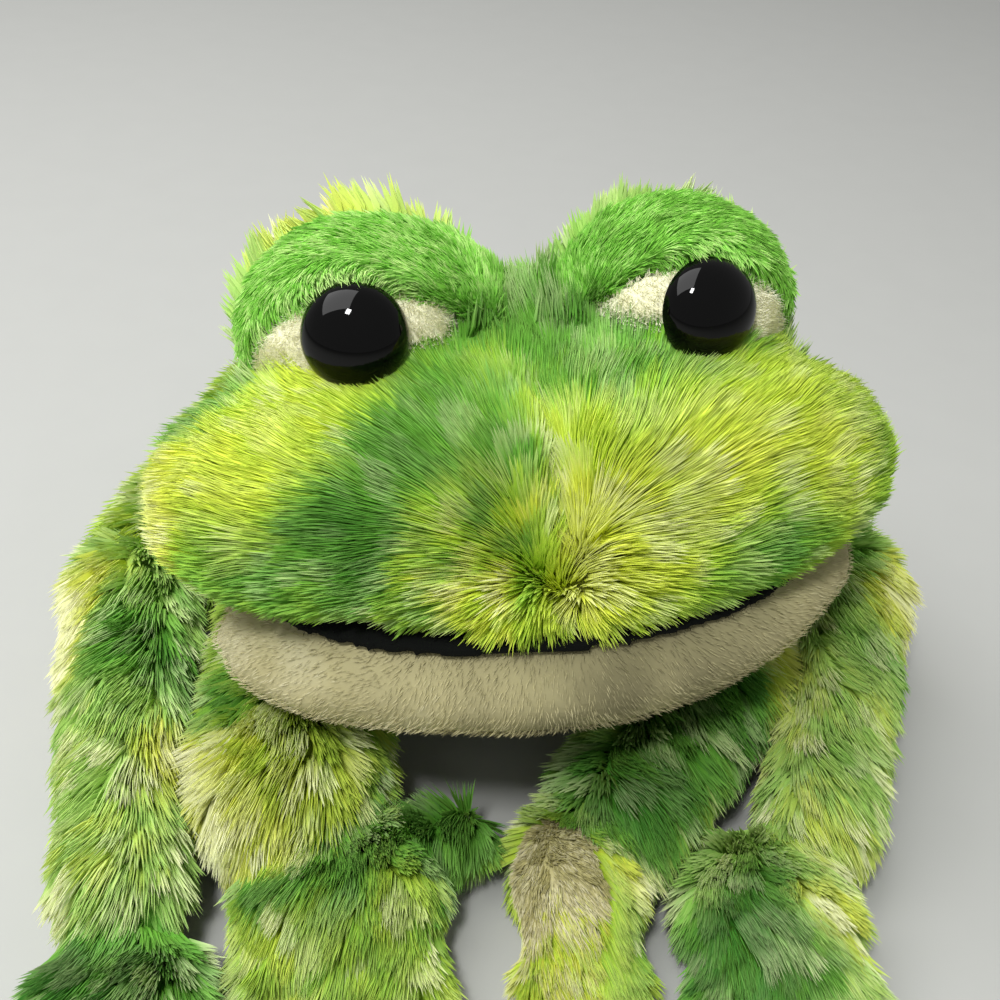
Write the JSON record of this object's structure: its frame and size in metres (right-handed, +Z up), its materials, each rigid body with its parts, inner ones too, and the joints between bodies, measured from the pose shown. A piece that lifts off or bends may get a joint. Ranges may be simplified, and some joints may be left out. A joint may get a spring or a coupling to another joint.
{
  "type": "plush frog",
  "caption": "Crouching plush frog with tie-dyed long-pile covers, cream jaw and palms, glossy safety eyes, a felt mouth and limbs that turn at sewn joints.",
  "frame": {"origin": "on the floor, under the middle of the box around the frog", "axes": "+Z up from the floor, -Y the way the frog faces, +X to the frog's own left"},
  "size_m": [0.1964, 0.2229, 0.124],
  "materials": {
    "pile_lime": "long combed pile, dyed yellow-green with green patches",
    "pile_green": "long combed pile, dyed mid green with yellow-green patches",
    "lid_plush": "short brushed pile, bright green",
    "cream_plush": "short shorn pile, off-white",
    "black_felt": "fuzzy black felt",
    "eye_gloss": "polished black",
    "washer_plastic": "moulded, off-white",
    "stuffing": "loose polyester fibre",
    "bead_bag": "cloth bag of small beads"
  },
  "bodies": {
    "torso": {"back_cover": "pile_green", "belly_panel": "cream_plush", "torso_bead_bag": "bead_bag", "torso_stuffing": "stuffing"},
    "head": {"eyelid_left": "lid_plush", "eyelid_right": "lid_plush", "eye_white_left": "cream_plush", "eye_white_right": "cream_plush", "safety_eye_left": "eye_gloss", "safety_eye_right": "eye_gloss", "eye_washer_left": "washer_plastic", "eye_washer_right": "washer_plastic", "muzzle_cover_left": "pile_lime", "muzzle_cover_right": "pile_lime", "head_back_cover": "pile_green", "head_stuffing": "stuffing", "jaw_panel": "cream_plush", "jaw_stuffing": "stuffing", "mouth_felt": "black_felt"},
    "arm_left": {"arm_cover_left": "pile_lime", "arm_under_panel_left": "cream_plush", "arm_stuffing_left": "stuffing", "hand_cover_left": "pile_green", "palm_panel_left": "cream_plush", "hand_stuffing_left": "stuffing"},
    "thigh_left": {"thigh_cover_left": "pile_green", "thigh_stuffing_left": "stuffing"},
    "shank_left": {"shank_cover_left": "pile_lime", "shank_stuffing_left": "stuffing", "foot_cover_left": "pile_green", "sole_panel_left": "cream_plush", "foot_bead_bag_left": "bead_bag"},
    "arm_right": {"arm_cover_right": "pile_lime", "arm_under_panel_right": "cream_plush", "arm_stuffing_right": "stuffing", "hand_cover_right": "pile_green", "palm_panel_right": "cream_plush", "hand_stuffing_right": "stuffing"},
    "thigh_right": {"thigh_cover_right": "pile_green", "thigh_stuffing_right": "stuffing"},
    "shank_right": {"shank_cover_right": "pile_lime", "shank_stuffing_right": "stuffing", "foot_cover_right": "pile_green", "sole_panel_right": "cream_plush", "foot_bead_bag_right": "bead_bag"}
  },
  "joints": [
    {"name": "neck", "type": "hinge", "parent": "torso", "child": "head", "pos_m": [0.00123, 0.02649, 0.061], "axis": [1, 0, 0], "range_deg": [-15, 0]},
    {"name": "shoulder_left", "type": "hinge", "parent": "torso", "child": "arm_left", "pos_m": [0.03863, 0.01399, 0.026], "axis": [1, 0, 0], "range_deg": [0, 60]},
    {"name": "shoulder_right", "type": "hinge", "parent": "torso", "child": "arm_right", "pos_m": [-0.04437, 0.01799, 0.025], "axis": [1, 0, 0], "range_deg": [0, 60]},
    {"name": "hip_left", "type": "hinge", "parent": "torso", "child": "thigh_left", "pos_m": [0.04563, 0.07599, 0.027], "axis": [1, 0, 0], "range_deg": [0, 60]},
    {"name": "hip_right", "type": "hinge", "parent": "torso", "child": "thigh_right", "pos_m": [-0.05237, 0.07599, 0.027], "axis": [1, 0, 0], "range_deg": [0, 60]},
    {"name": "knee_left", "type": "hinge", "parent": "thigh_left", "child": "shank_left", "pos_m": [0.08463, 0.01199, 0.027], "axis": [1, 0, 0], "range_deg": [0, 45]},
    {"name": "knee_right", "type": "hinge", "parent": "thigh_right", "child": "shank_right", "pos_m": [-0.08437, 0.00999, 0.027], "axis": [1, 0, 0], "range_deg": [0, 45]}
  ]
}
